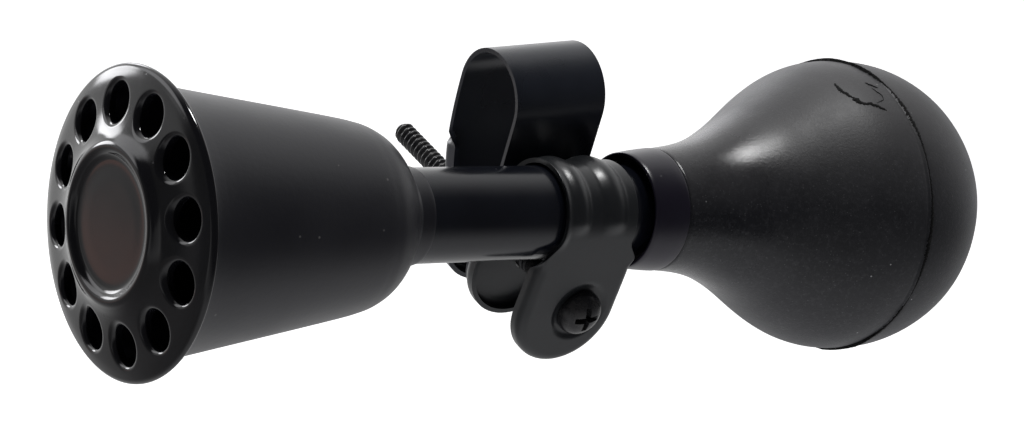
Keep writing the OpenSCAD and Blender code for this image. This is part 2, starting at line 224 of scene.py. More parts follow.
def rubber():
    """Old black rubber: mould texture, bloom, dust, painted light on the upper side and a few scuffs."""
    n = Nodes("black_rubber")
    cloud = n.noise(38.0, 6.0, 0.62, distortion=0.3)
    bloom = n.grey(n.noise(95.0, 5.0, 0.7), 0.0, 1.0, 0.42, 0.7)
    grit = n.noise(1100.0, 3.0, 0.75)
    base = n.mix(n.grey(cloud, 0.0, 1.0, 0.35, 0.68), (0.0075, 0.0078, 0.0098), (0.0135, 0.0138, 0.0165))
    base = n.mix(n.math("MULTIPLY", bloom, 0.3), base, (0.024, 0.024, 0.028))
    base = n.mix(n.grey(grit, 0.0, 0.5, 0.5, 0.78), base, (0.05, 0.05, 0.055))
    fine = n.specks(1500.0, 0.2, 1.7, 0.8)
    big = n.specks(300.0, 0.055, 5.3, 0.82)
    base = n.mix(n.math("MULTIPLY", fine, 0.45), base, (0.09, 0.09, 0.095))
    base = n.mix(n.math("MULTIPLY", big, 0.85), base, (0.30, 0.30, 0.31))
    # dust and painted light from above make the upper side lighter, and the hand has rubbed the neck shiny
    place = n.add("ShaderNodeSeparateXYZ")
    n.link(n.coord, place.inputs["Vector"])
    upward = n.add("ShaderNodeSeparateXYZ")
    n.link(n.add("ShaderNodeTexCoord").outputs["Normal"], upward.inputs["Vector"])
    top = n.math("MULTIPLY", n.grey(upward.outputs["Z"], 0.0, 1.0, 0.45, 1.0), n.grey(cloud, 0.45, 1.0, 0.3, 0.7))
    # painted light and dust: upward-facing rubber is mixed towards a lighter grey
    base = n.mix(n.math("MULTIPLY", top, 0.6), base, (0.062, 0.060, 0.061))
    n.link(base, n.bsdf.inputs["Base Color"])
    rubbed = n.grey(place.outputs["X"], 1.0, 0.0, 0.039, 0.050)
    dull = n.math("ADD", n.grey(cloud, 0.42, 0.52, 0.3, 0.7), n.math("MULTIPLY", bloom, 0.06))
    n.link(n.math("SUBTRACT", dull, n.math("MULTIPLY", rubbed, 0.28)), n.bsdf.inputs["Roughness"])
    h = n.math("ADD", n.math("MULTIPLY", n.noise(1700.0, 4.0, 0.7), 0.75), n.math("MULTIPLY", n.noise(330.0, 3.0, 0.6), 0.25))
    n.link(n.bump(h, 0.00007), n.bsdf.inputs["Normal"])
    n.bsdf.inputs["Specular IOR Level"].default_value = 0.4
    n.bsdf.inputs["Sheen Weight"].default_value = 0.06
    n.bsdf.inputs["Sheen Roughness"].default_value = 0.4
    n.bsdf.inputs["Sheen Tint"].default_value = (0.85, 0.87, 0.95, 1.0)
    return n.mat


# near-black strips: painted shade in the tears and along the mould seam and its flash
def crack_painted_shade():
    n = Nodes("rubber_crack_painted_shade")
    c = n.noise(900.0, 3.0)
    n.link(n.mix(n.grey(c, 0.0, 1.0, 0.4, 0.6), (0.002, 0.002, 0.002), (0.006, 0.006, 0.006)), n.bsdf.inputs["Base Color"])
    n.link(n.grey(c, 0.75, 0.95, 0.3, 0.7), n.bsdf.inputs["Roughness"])
    n.bsdf.inputs["Specular IOR Level"].default_value = 0.2
    return n.mat


def brass():
    n = Nodes("old_brass")
    c = n.noise(180.0, 5.0, 0.6)
    n.link(n.mix(n.grey(c, 0.0, 1.0, 0.35, 0.7), (0.72, 0.52, 0.22), (0.42, 0.28, 0.11)), n.bsdf.inputs["Base Color"])
    n.link(n.grey(c, 0.25, 0.45, 0.3, 0.7), n.bsdf.inputs["Roughness"])
    n.link(n.bump(n.noise(2400.0, 3.0), 0.00002), n.bsdf.inputs["Normal"])
    n.bsdf.inputs["Metallic"].default_value = 1.0
    return n.mat


M_SCREW = screw_finish()
M_RUBBER = rubber()
M_CRACK_SHADE = crack_painted_shade()
M_BRASS = brass()

# ---------------------------------------------------------------- mesh helpers


def mesh_object(name, verts, faces, material, sharp=40.0):
    """A mesh from points in mm about the horn axis, shaded smooth but for its sharp edges."""
    me = bpy.data.meshes.new(name)
    me.from_pydata([at(v) for v in verts], [], faces)
    me.materials.append(material)
    bm = bmesh.new()
    bm.from_mesh(me)
    bmesh.ops.remove_doubles(bm, verts=bm.verts, dist=2e-7)
    bmesh.ops.recalc_face_normals(bm, faces=bm.faces)
    bm.to_mesh(me)
    bm.free()
    ob = bpy.data.objects.new(name, me)
    bpy.context.scene.collection.objects.link(ob)
    shade(ob, sharp)
    return ob


def shade(ob, sharp=40.0):
    me = ob.data
    me.polygons.foreach_set("use_smooth", [True] * len(me.polygons))
    me.set_sharp_from_angle(angle=math.radians(sharp))
    me.update()


def bake(ob):
    """Applies the object's modifiers to its mesh."""
    bpy.context.view_layer.update()
    ev = ob.evaluated_get(bpy.context.evaluated_depsgraph_get())
    me = bpy.data.meshes.new_from_object(ev)
    ob.modifiers.clear()
    old = ob.data
    ob.data = me
    bpy.data.meshes.remove(old)
    return ob


def spline(points, n=8):
    """A smooth line through the points (Catmull-Rom), n steps a span."""
    p = [Vector(q) for q in points]
    p = [p[0] * 2 - p[1]] + p + [p[-1] * 2 - p[-2]]
    out = []
    for i in range(1, len(p) - 2):
        a, b, c, d = p[i - 1], p[i], p[i + 1], p[i + 2]
        tb = max((b - a).length, 1e-6) ** 0.5
        tc = tb + max((c - b).length, 1e-6) ** 0.5
        td = tc + max((d - c).length, 1e-6) ** 0.5
        for k in range(n):
            t = tb + (tc - tb) * k / n
            a1 = a * ((tb - t) / tb) + b * (t / tb)
            a2 = b * ((tc - t) / (tc - tb)) + c * ((t - tb) / (tc - tb))
            a3 = c * ((td - t) / (td - tc)) + d * ((t - tc) / (td - tc))
            b1 = a1 * ((tc - t) / tc) + a2 * (t / tc)
            b2 = a2 * ((td - t) / (td - tb)) + a3 * ((t - tb) / (td - tb))
            out.append(b1 * ((tc - t) / (tc - tb)) + b2 * ((t - tb) / (tc - tb)))
    out.append(p[-2])
    return out


def bezier(a, b, c, d, n):
    a, b, c, d = (Vector(q) for q in (a, b, c, d))
    return [a * (1 - u) ** 3 + b * 3 * u * (1 - u) ** 2 + c * 3 * u * u * (1 - u) + d * u ** 3 for u in (i / n for i in range(n + 1))]


def ring_point(x, r, w):
    return Vector((x, r * math.cos(w), r * math.sin(w)))


def lathe(name, profile, material, seg=192, closed=True, sharp=40.0, start=0.0):
    """A shell turned about the horn axis from (x, r) points; r 0 makes a pole."""
    verts, faces, rows = [], [], []
    for q in profile:
        if q[1] < 1e-4:
            rows.append([len(verts)])
            verts.append(Vector((q[0], 0, 0)))
        else:
            rows.append(list(range(len(verts), len(verts) + seg)))
            verts += [ring_point(q[0], q[1], start + 2 * math.pi * i / seg) for i in range(seg)]
    pairs = list(zip(rows, rows[1:])) + ([(rows[-1], rows[0])] if closed else [])
    for a, b in pairs:
        for i in range(seg):
            j = (i + 1) % seg
            if len(a) == 1 and len(b) == 1:
                break
            if len(a) == 1:
                faces.append((a[0], b[j], b[i]))
            elif len(b) == 1:
                faces.append((a[i], a[j], b[0]))
            else:
                faces.append((a[i], a[j], b[j], b[i]))
    return mesh_object(name, verts, faces, material, sharp)


def aside(line, d):
    """The (x, r) line moved by d to its left."""
    out = []
    for i, q in enumerate(line):
        t = (line[min(i + 1, len(line) - 1)] - line[max(i - 1, 0)]).normalized()
        out.append(q + Vector((-t[1], t[0])) * d)
    return out


# ---------------------------------------------------------------- bell

RIM_X = -109.4
STEM_R = 9.7
shell = (
    [Vector((RIM_X + 0.78, 28.7)), Vector((RIM_X + 0.85, 27.9))]
    + spline([(RIM_X + 1.1, 27.4), (RIM_X + 2.1, 26.95), (RIM_X + 3.6, 26.5), (-103.4, 25.98)], 6)
    + spline([(-100.0, 25.44), (-62.8, 19.68), (-60.5, 19.22), (-58.0, 18.58), (-55.2, 17.25), (-53.0, 15.5), (-51.3, 13.5), (-50.2, 11.9), (-49.7, 11.0)], 12)
    + spline([(-49.45, 10.55), (-49.2, 10.3), (-48.7, 10.14), (-47.0, 10.06), (-45.1, 10.06)], 4)
    + [Vector((-44.85, 10.0)), Vector((-44.8, 9.85))]
)
back = [q for q in aside(shell[2:-3], -0.8) if q[0] < -50.9]
bell = lathe("bell_skin", shell + [Vector((-44.8, STEM_R + 0.02)), Vector((-47.4, STEM_R + 0.02))] + back[::-1] + [Vector((RIM_X + 0.1, 26.6)), Vector((RIM_X + 0.05, 28.7))], M_BELL, sharp=50)
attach(bell, "horn")
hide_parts("bell_shell")

# ---------------------------------------------------------------- cover

HOLE_R = 22.7       # circle of the sound holes
HOLE = 3.75         # radius of a hole's throat
LIP = 1.2           # radius of the drawn-in edge of a hole
PHASE = math.radians(26.4)
SHIFTS = {3: -0.8, 4: -1.3, 5: -1.2}    # three holes sit a little off their places
R_IN, R_OUT = 17.4, 27.6
SEG = 192

# front face: (height forward of the rim plane, radius), from the bead inwards
face_line = spline([
    (-1.35, 27.9), (-1.38, 28.95), (-1.15, 29.6), (-0.65, 30.0), (-0.1, 29.92), (0.36, 29.45), (0.68, 28.6), (0.96, 27.6),
    (1.2, 26.4), (1.45, 24.9), (1.75, 23.1), (2.12, 21.2), (2.52, 19.6), (3.0, 18.0), (3.4, 17.0), (3.95, 16.0), (4.4, 15.3),
    (4.58, 14.8), (4.61, 14.4), (4.5, 13.9), (4.2, 13.4), (3.86, 13.0), (3.62, 12.5), (3.51, 11.9), (3.5, 8.0), (3.5, 4.0), (3.5, 0.0)], 6)
heights = sorted((q[1], q[0]) for q in face_line if q[0] > 0.2)


def face_height(r):
    for (ra, ha), (rb, hb) in zip(heights, heights[1:]):
        if ra <= r <= rb:
            return ha + (hb - ha) * (r - ra) / max(rb - ra, 1e-9)
    return heights[0][1] if r < heights[0][0] else heights[-1][1]


def cover_mesh():
    verts, faces = [], []

    def put(h, r, w):
        verts.append(Vector((RIM_X - h, r * math.cos(w), r * math.sin(w))))
        return len(verts) - 1

    # rolled edge and raised centre: plain turned zones
    outer = [q for q in face_line if q[1] > R_OUT or q[0] < 0.2]
    outer.append(Vector((face_height(R_OUT), R_OUT)))
    inner = [Vector((face_height(R_IN), R_IN))] + [q for q in face_line if q[1] < R_IN and q[0] > 1.0]
    for zone in (outer, inner):
        rows = []
        for q in zone:
            if q[1] < 1e-3:
                i = put(q[0], 0.0, 0.0)
                rows.append([i] * SEG)
            else:
                rows.append([put(q[0], q[1], PHASE + 2 * math.pi * k / SEG) for k in range(SEG)])
        for a, b in zip(rows, rows[1:]):
            for k in range(SEG):
                j = (k + 1) % SEG
                if b[k] == b[j]:
                    faces.append((a[k], a[j], b[k]))
                else:
                    faces.append((a[k], a[j], b[j], b[k]))
    # the pierced zone: each 30 degree sector is a fan of rings round its hole
    m = SEG // 12
    side = 12
    bends = [math.radians(a) for a in (90, 75, 60, 45, 30, 15, 0)]
    steps = [0.12, 0.26, 0.42, 0.6, 0.8]
    for s in range(12):
        wc = PHASE + math.radians(30 * s)
        half = math.radians(15)
        edge = [(R_OUT, wc - half + 2 * half * i / m) for i in range(m)]
        edge += [(R_OUT + (R_IN - R_OUT) * i / side, wc + half) for i in range(side)]
        edge += [(R_IN, wc + half - 2 * half * i / m) for i in range(m)]
        edge += [(R_IN + (R_OUT - R_IN) * i / side, wc - half) for i in range(side)]
        wh = wc + math.radians(SHIFTS.get(s, 0.0))
        cx, cy = HOLE_R * math.cos(wh), HOLE_R * math.sin(wh)
        rings = []
        for r, w in edge:
            ex, ey = r * math.cos(w), r * math.sin(w)
            dx, dy = ex - cx, ey - cy
            far = math.hypot(dx, dy)
            dx, dy = dx / far, dy / far
            line = []
            spots = [(HOLE, LIP + 1.0), (HOLE, LIP + 0.5)]
            spots += [(HOLE + LIP * (1 - math.sin(a)), LIP * (1 - math.cos(a))) for a in bends]
            # near the ring's foot the drawn edge is squeezed
            room = min(1.0, (far - HOLE) / (LIP * 1.02))
            spots = [(HOLE + (d - HOLE) * room, dip) for d, dip in spots]
            start = HOLE + LIP * room
            spots += [(start + (far - start) * t, 0.0) for t in steps]
            for d, dip in spots:
                px, py = cx + dx * d, cy + dy * d
                rr = math.hypot(px, py)
                line.append(put(face_height(rr) - dip, rr, math.atan2(py, px)))
            line.append(put(face_height(r), r, w))
            rings.append(line)
        n = len(rings)
        for i in range(n):
            a, b = rings[i], rings[(i + 1) % n]
            for k in range(len(a) - 1):
                faces.append((a[k], b[k], b[k + 1], a[k + 1]))
    return verts, faces


verts, faces = cover_mesh()
cover = mesh_object("cover_skin", verts, faces, M_COVER, 60)
# make the face look forwards, then give the sheet its thickness
bm = bmesh.new()
bm.from_mesh(cover.data)
bmesh.ops.remove_doubles(bm, verts=bm.verts, dist=4e-6)
bmesh.ops.recalc_face_normals(bm, faces=bm.faces)
middle = min(bm.faces, key=lambda f: (f.calc_center_median() - at((RIM_X - 3.5, 1.0, 1.0))).length)
if middle.normal.x > 0:
    bmesh.ops.reverse_faces(bm, faces=bm.faces)
bm.to_mesh(cover.data)
bm.free()
mod = cover.modifiers.new("sheet", "SOLIDIFY")
mod.thickness = 0.0005
mod.offset = -1.0
bake(cover)
shade(cover, 70)
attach(cover, "horn")
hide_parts("grille_cover")

# ---------------------------------------------------------------- stem and cuff

stem = lathe("stem_skin", [Vector(q) for q in ((-50, STEM_R), (-20, STEM_R), (10, STEM_R), (32.8, STEM_R), (33.0, STEM_R - 0.2), (33.0, STEM_R - 1), (-50, STEM_R - 1))], M_STEM, sharp=30)
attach(stem, "horn")
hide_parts("stem_tube")

cuff = lathe("cuff_skin", [Vector(q) for q in ((11.0, 11.62), (10.92, 11.7), (10.9, 11.95), (10.98, 12.15), (11.15, 12.26), (12.2, 12.4), (14.5, 12.7), (17.0, 12.95), (19.1, 13.1), (19.4, 13.08), (19.58, 12.98), (19.6, 12.85), (19.6, 11.6), (14.0, 11.6))], M_CUFF, sharp=60)
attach(cuff, "horn")
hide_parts("bulb_cuff")

# ---------------------------------------------------------------- bulb

BULB_R, BULB_X = 32.15, 73.8
MOULD_X = 71.8      # plane of the mould line
outer_line = (
    [Vector((13.62, 11.2)), Vector((13.9, 11.56)), Vector((19.5, 11.58)), Vector((19.64, 12.5)), Vector((19.8, 12.88))]
    + spline([(20.3, 13.05), (22.8, 13.32), (26, 13.72), (30, 14.5), (34, 15.7), (38, 17.35), (42, 19.3), (46, 21.5), (50, 23.9), (54, 26.35), (58, 28.6), (62, 30.42), (66, 31.55), (70, 32.05), (BULB_X, BULB_R)], 6)
)
dome = [Vector((BULB_X + BULB_R * math.sin(a), BULB_R * math.cos(a))) for a in (math.pi / 2 * i / 40 for i in range(1, 41))]


def bulb_radius(x):
    line = outer_line[5:] + dome
    for a, b in zip(line, line[1:]):
        if a[0] <= x <= b[0]:
            return a[1] + (b[1] - a[1]) * (x - a[0]) / max(b[0] - a[0], 1e-9)
    return BULB_R


def bulb_mesh():
    """The rubber bulb: one skin, with a low bead at the mould line and slight unevenness."""
    seg = 256
    line = outer_line + dome[:-1]
    # more rings at the mould line
    tight = [-1.4, -0.9, -0.6, -0.4, -0.25, -0.1, 0.05, 0.2, 0.35, 0.55, 0.8, 1.2]
    line = [q for q in line if abs(q[0] - MOULD_X) > 1.6]
    extra = []
    for dx in tight:
        extra.append(Vector((MOULD_X + dx, bulb_radius(MOULD_X + dx))))
    line = sorted(line[5:] + extra, key=lambda q: q[0])
    line = outer_line[:5] + line
    verts, faces, rows = [], [], []
    for q in line:
        row_ = []
        for i in range(seg):
            w = 2 * math.pi * i / seg
            x, r = q[0], q[1]
            if x > 24:
                n1 = noise.noise(Vector((x / 17.0, 2.2 * math.cos(w), 2.2 * math.sin(w) + 7.0)))
                r += 0.10 * n1 * min(1.0, (x - 24) / 10.0)
            # a low bead at the mould line with a fine sunk line on each side
            d = x - MOULD_X
            r += 0.16 * math.exp(-(d / 0.28) ** 2)
            r -= 0.12 * math.exp(-((abs(d) - 0.62) / 0.2) ** 2)
            row_.append(len(verts))
            verts.append(ring_point(x, r, w))
        rows.append(row_)
    for a, b in zip(rows, rows[1:]):
        for i in range(seg):
            j = (i + 1) % seg
            faces.append((a[i], a[j], b[j], b[i]))
    pole = len(verts)
    verts.append(Vector((BULB_X + BULB_R, 0, 0)))
    for i in range(seg):
        faces.append((rows[-1][i], rows[-1][(i + 1) % seg], pole))
    # back into the neck, so that the rubber has an inner wall round the stem
    lip = []
    for q in ((13.6, STEM_R + 0.1), (30.0, STEM_R + 0.05)):
        lip.append(list(range(len(verts), len(verts) + seg)))
        verts.extend(ring_point(q[0], q[1], 2 * math.pi * i / seg) for i in range(seg))
    for a, b in ((lip[0], rows[0]), (lip[1], lip[0])):
        for i in range(seg):
            j = (i + 1) % seg
            faces.append((a[i], a[j], b[j], b[i]))
    return verts, faces


verts, faces = bulb_mesh()
bulb = mesh_object("rubber_bulb", verts, faces, M_RUBBER, 75)
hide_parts("bulb_front_half", "bulb_rear_half")
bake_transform(bulb)


def crack(name, path, width, seed, lift=0.12, jagged=0.12):
    """A torn edge in the rubber skin: a thin ragged strip lying on the bulb, near-black as painted shade of the tear.
    path holds (x, angle in degrees, share of width).
    """
    rnd = random.Random(seed)
    pts = []
    for (x0, w0, k0), (x1, w1, k1) in zip(path, path[1:]):
        n = max(3, int(math.hypot(x1 - x0, (w1 - w0) * 0.55) / 0.22))
        for i in range(n):
            t = i / n
            pts.append((x0 + (x1 - x0) * t, w0 + (w1 - w0) * t, k0 + (k1 - k0) * t))
    pts.append(path[-1])
    verts, faces = [], []
    for i, (x, w, k) in enumerate(pts):
        a, b = pts[max(i - 1, 0)], pts[min(i + 1, len(pts) - 1)]
        dx, dw = b[0] - a[0], (b[1] - a[1]) * math.radians(1) * bulb_radius(x)
        far = math.hypot(dx, dw) or 1.0
        nx, nw = -dw / far, dx / far
        jag = jagged * rnd.uniform(-1, 1)
        row_ = []
        for side_, high in ((-0.5, 0.0), (-0.3, lift), (0.25, lift * 1.4), (0.5, 0.0)):
            off = width * k * (side_ + 0.18 * rnd.uniform(-1, 1)) + jag
            xx = x + nx * off
            ww = math.radians(w) + nw * off / bulb_radius(x)
            row_.append(len(verts))
            verts.append(ring_point(xx, bulb_radius(xx) + high * k, ww))
        if i:
            for j in range(3):
                faces.append((prev[j], prev[j + 1], row_[j + 1], row_[j]))
        prev = row_
    ob = mesh_object(name, verts, faces, M_CRACK_SHADE, 60)
    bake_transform(ob)
    return ob


crack("bulb_tear_long", [(61.0, 85.5, 0.6), (60.6, 90.7, 1.0), (61.1, 95.5, 0.9), (61.6, 96.9, 0.5), (61.7, 98.0, 1.5), (62.1, 100.7, 1.3), (63.2, 102.2, 0.7), (64.1, 102.5, 1.2), (66.2, 106.1, 0.9), (66.8, 107.4, 0.2)], 0.8, 4)
crack("bulb_tear_short", [(67.2, 90.4, 0.4), (67.7, 91.8, 1.0), (68.8, 93.9, 0.8), (69.2, 94.6, 0.2)], 0.6, 7)
crack("bulb_tear_fine", [(67.4, 94.4, 0.3), (67.9, 97.2, 0.8), (68.3, 99.1, 0.6), (68.2, 101.0, 0.25), (67.2, 102.2, 0.5), (65.6, 102.7, 0.3)], 0.4, 11)

# the mould line: a seam all round, and ragged flash at the top and underneath, drawn near-black as painted shade
crack("mould_seam", [(MOULD_X + 0.12 * math.sin(math.radians(3 * a)) + 0.3, a, 1.0 + 0.35 * math.sin(math.radians(7 * a + 40))) for a in range(0, 361, 6)], 0.85, 21, 0.16, 0.08)
crack("mould_flash_top", [(MOULD_X - 0.2, 38.0, 0.3), (MOULD_X - 0.3, 44.0, 0.9), (MOULD_X, 54.0, 1.0), (MOULD_X - 0.2, 62.0, 1.1), (MOULD_X, 70.0, 0.8), (MOULD_X - 0.1, 78.0, 1.0), (MOULD_X, 88.0, 0.7), (MOULD_X + 0.1, 97.0, 0.3)], 1.25, 22, 0.42, 0.1)
crack("mould_flash_under", [(MOULD_X + 0.2, 186.0, 0.3), (MOULD_X + 0.1, 194.0, 0.7), (MOULD_X, 202.0, 0.5), (MOULD_X - 0.1, 212.0, 0.8), (MOULD_X, 221.0, 1.2), (MOULD_X - 0.1, 230.0, 0.9), (MOULD_X, 240.0, 0.9), (MOULD_X, 248.0, 0.3)], 1.1, 23, 0.4, 0.14)

# ---------------------------------------------------------------- straps


def strap(name, stations, lateral_n, sheet, material, ends, feature=None, place=None, bevel=0.16, sharp=42.0):
    """A strip of sheet metal with turned-in edges and round ends.

    stations: dicts of the outer face along the strap: y, z, ny, nz (outward
    normal), xl, xr (edges), rho (bend radius), turn (bend angle in degrees),
    deep (straight part of the turned edge). ends: (first, last), True where a
    round end is added; there the strap goes straight on."""
    flat_n, bend_n, deep_n = lateral_n
    verts, faces = [], []

    def add(x, st, along, off):
        """x across, along the end's straight direction, off towards the inside."""
        y = st["y"] + st["ty"] * along - st["ny"] * off
        z = st["z"] + st["tz"] * along - st["nz"] * off
        p = (x, y, z)
        verts.append(place(*p) if place else Vector(p))
        return len(verts) - 1

    def half(R, rho, turn, deep):
        """Lateral samples from the middle to the free edge: (distance, drop)."""
        a_end = math.radians(turn)
        deep = max(deep, 0.02)
        flat = R - rho * math.sin(a_end) - deep * math.cos(a_end)
        out = [(flat * i / (flat_n // 2), 0.0) for i in range(flat_n // 2 + 1)]
        for i in range(1, bend_n + 1):
            a = a_end * i / bend_n
            out.append((flat + rho * math.sin(a), rho * (1 - math.cos(a))))
        for i in range(1, deep_n + 1):
            k = deep * i / deep_n
            out.append((flat + rho * math.sin(a_end) + k * math.cos(a_end), rho * (1 - math.cos(a_end)) + k * math.sin(a_end)))
        return out

    rows = []
    for i, st in enumerate(stations):
        a, b = stations[max(i - 1, 0)], stations[min(i + 1, len(stations) - 1)]
        t = Vector((b["y"] - a["y"], b["z"] - a["z"])).normalized()
        st["ty"], st["tz"] = t
        xc = (st["xl"] + st["xr"]) / 2
        R = (st["xr"] - st["xl"]) / 2
        samples = half(R, st["rho"], st["turn"], st["deep"])
        row_ = []
        for d, drop in samples[:0:-1]:
            row_.append(add(xc - d, st, 0.0, drop + (feature(xc - d, st, 0.0) if feature else 0.0)))
        for d, drop in samples:
            row_.append(add(xc + d, st, 0.0, drop + (feature(xc + d, st, 0.0) if feature else 0.0)))
        rows.append(row_)
    for a, b in zip(rows, rows[1:]):
        for k in range(len(a) - 1):
            faces.append((a[k], a[k + 1], b[k + 1], b[k]))
    for which, row_, st in ((0, rows[0], stations[0]), (1, rows[-1], stations[-1])):
        if not ends[which]:
            continue
        way = -1.0 if which == 0 else 1.0
        xc = (st["xl"] + st["xr"]) / 2
        R = (st["xr"] - st["xl"]) / 2
        samples = half(R, st["rho"], st["turn"], st["deep"])
        k_mid = len(samples) - 1
        mid = row_[k_mid]
        left = [row_[k_mid - j] for j in range(len(samples))]
        right = [row_[k_mid + j] for j in range(len(samples))]
        count = 48
        rays = [left]
        for i in range(1, count):
            a = math.pi * i / count
            ray = [mid]
            for d, drop in samples[1:]:
                x, along = xc - d * math.cos(a), way * d * math.sin(a)
                ray.append(add(x, st, along, drop + (feature(x, st, along) if feature else 0.0)))
            rays.append(ray)
        rays.append(right)
        for a, b in zip(rays, rays[1:]):
            faces.append((mid, a[1], b[1]))
            for j in range(1, len(samples) - 1):
                faces.append((a[j], a[j + 1], b[j + 1], b[j]))
    ob = mesh_object(name, verts, faces, material, 180)
    # outward faces, then thickness inwards and softened cut edges
    me = ob.data
    probe = stations[len(stations) // 2]
    mid_pt = (((probe["xl"] + probe["xr"]) / 2), probe["y"], probe["z"])
    out_pt = (mid_pt[0], probe["y"] + probe["ny"], probe["z"] + probe["nz"])
    p0 = at(place(*mid_pt) if place else mid_pt)
    p1 = at(place(*out_pt) if place else out_pt)
    face = min(me.polygons, key=lambda f: (f.center - p0).length)
    if face.normal.dot(p1 - p0) < 0:
        me.flip_normals()
    mod = ob.modifiers.new("sheet", "SOLIDIFY")
    mod.thickness = sheet / 1000.0
    mod.offset = -1.0
    mod.use_even_offset = True
    mod = ob.modifiers.new("edge", "BEVEL")
    mod.limit_method = "ANGLE"
    mod.angle_limit = math.radians(55)
    mod.width = bevel / 1000.0
    mod.segments = 3
    bake(ob)
    shade(ob, sharp)
    return ob


def ease(t):
    t = min(1.0, max(0.0, t))
    return t * t * (3 - 2 * t)


# stem strap: down the near side, over the stem and down the far side
BAND_R = 10.77
BAND_L, BAND_X = -11.9, 7.1
TAB_HW = 12.4
TABS = {True: (-2.3, -18.6), False: (-3.0, -18.1)}     # near and far tab: middle, centre of its end


def stem_edges(z, near=True, over=False):
    """Edges and turned rim of the stem strap; over is true on top of the stem."""
    k = 1.0 if over else ease((z + 6.2) / 5.4)
    middle = TABS[near][0]
    left = (middle - TAB_HW) * (1 - k) + BAND_L * k
    right = (middle + TAB_HW) * (1 - k) + BAND_X * k
    f = 1.0 if over else ease((z + 9.4) / 5.4)
    return {"xl": left, "xr": right, "rho": 2.0 * (1 - f) + 0.6 * f, "turn": 90 * (1 - f) + 20 * f, "deep": 1.5 * (1 - f)}


stations = []
for i in range(29):
    z = TABS[True][1] * (1 - i / 29)
    stations.append({"y": -BAND_R, "z": z, "ny": -1.0, "nz": 0.0, **stem_edges(z), "rise": z})
for i in range(65):
    w = math.pi - math.pi * i / 64
    stations.append({"y": BAND_R * math.cos(w), "z": BAND_R * math.sin(w), "ny": math.cos(w), "nz": math.sin(w), **stem_edges(0, True, True), "rise": BAND_R * math.sin(w)})
for i in range(1, 30):
    z = TABS[False][1] * i / 29
    stations.append({"y": BAND_R, "z": z, "ny": 1.0, "nz": 0.0, **stem_edges(z, False), "rise": z})


def stem_feature(x, st, along):
    """Ribs stand out (negative), the dish round the screw head is sunk."""
    out = 0.0
    fade = ease((st["rise"] - 0.6) / 3.4)
    if fade > 0:
        for a, b, high in ((-11.2, -5.3, 0.9), (-2.2, 4.5, 0.9)):
            if a < x < b:
                out -= high * fade * math.sin(math.pi * (x - a) / (b - a)) ** 1.25
    # the edge towards the bell is flared off the stem
    out -= 0.55 * ease((st["rise"] + 3.0) / 4.0) * ease((BAND_L + 1.9 - x) / 1.9)
    if st["ny"] == -1.0 and st["rise"] < -3:
        z = st["z"] - (along if st["tz"] < 0 else -along)
        d = math.hypot(x, z - SCREW_Z)
        out += 0.6 * (1 - ease((d - 5.8) / 1.2))
    return out


def pierce(ob):
    """Cuts the screw's round hole through both tabs of a strap."""
    seg, r = 64, 2.7
    ends = [[Vector((r * math.sin(2 * math.pi * i / seg), y, SCREW_Z + r * math.cos(2 * math.pi * i / seg))) for i in range(seg)] for y in (-14.0, 29.0)]
    sides = [(i, (i + 1) % seg, seg + (i + 1) % seg, seg + i) for i in range(seg)]
    cutter = mesh_object("cutter_hole", ends[0] + ends[1], sides + [tuple(range(seg)), tuple(range(2 * seg - 1, seg - 1, -1))], M_SCREW, 30)
    mod = ob.modifiers.new("hole", "BOOLEAN")
    mod.operation = "DIFFERENCE"
    mod.solver = "EXACT"
    mod.object = cutter
    bake(ob)
    bpy.data.objects.remove(cutter)
    # the cut splits hair-thin bevel faces; close them up again
    bm = bmesh.new()
    bm.from_mesh(ob.data)
    bmesh.ops.remove_doubles(bm, verts=bm.verts, dist=1e-7)
    bmesh.ops.dissolve_degenerate(bm, edges=bm.edges, dist=1e-6)
    bm.to_mesh(ob.data)
    bm.free()
    shade(ob, 42)
    return ob


stem_strap = pierce(strap("stem_strap_skin", stations, (52, 7, 4), 1.0, M_STRAP, (True, True), stem_feature, bevel=0.14))
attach(stem_strap, "stem_clamp")
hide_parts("stem_strap")

# handlebar strap, outer face in its own frame: y, height over the screw
BAR_HW = 11.4
T3_Y, T4_Y, END_H = 10.82, 26.6, -1.8
loop = spline([(T3_Y, END_H), (T3_Y, 0.0), (T3_Y, 3.5), (T3_Y + 0.01, 6.6), (T3_Y + 0.3, 8.6), (T3_Y + 1.3, 11.6), (12.4, 13.6), (12.5, 16.0), (12.5, 22.0), (12.5, 28.0)], 7)[:-1]
loop += [Vector((SEAT_Y - SEAT_RO * math.cos(a), SEAT_H + SEAT_RO * math.sin(a))) for a in (math.pi * i / 56 for i in range(57))]
loop += spline([(33.6, 31.6), (33.5, 28.0), (33.2, 23.4), (32.4, 17.3), (31.4, 13.4), (29.9, 9.9), (28.0, 7.2), (26.95, 5.7), (T4_Y, 4.6), (T4_Y, 3.6), (T4_Y, 0.0), (T4_Y, END_H)], 7)[1:]
stations = []
for i, q in enumerate(loop):
    a, b = loop[max(i - 1, 0)], loop[min(i + 1, len(loop) - 1)]
    t = (b - a).normalized()
    y, h = q
    front = y < SEAT_Y
    top = 7.0 if front else 16.8
    k = 1 - ease((h - top) / 3.0)
    hw = BAR_HW + 0.7 * k
    stations.append({"y": y, "z": h, "ny": -t[1], "nz": t[0], "xl": SEAT_X - hw, "xr": SEAT_X + hw, "rho": 0.5 + 1.0 * k, "turn": 4 + 86 * k, "deep": (2.0 if front else 2.6) * k})

bar_strap = pierce(strap("handlebar_strap_skin", stations, (26, 6, 4), 1.0, M_LOOP, (True, True), None, leaning, bevel=0.18))
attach(bar_strap, "bar_clamp")
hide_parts("handlebar_strap")

# ---------------------------------------------------------------- screw


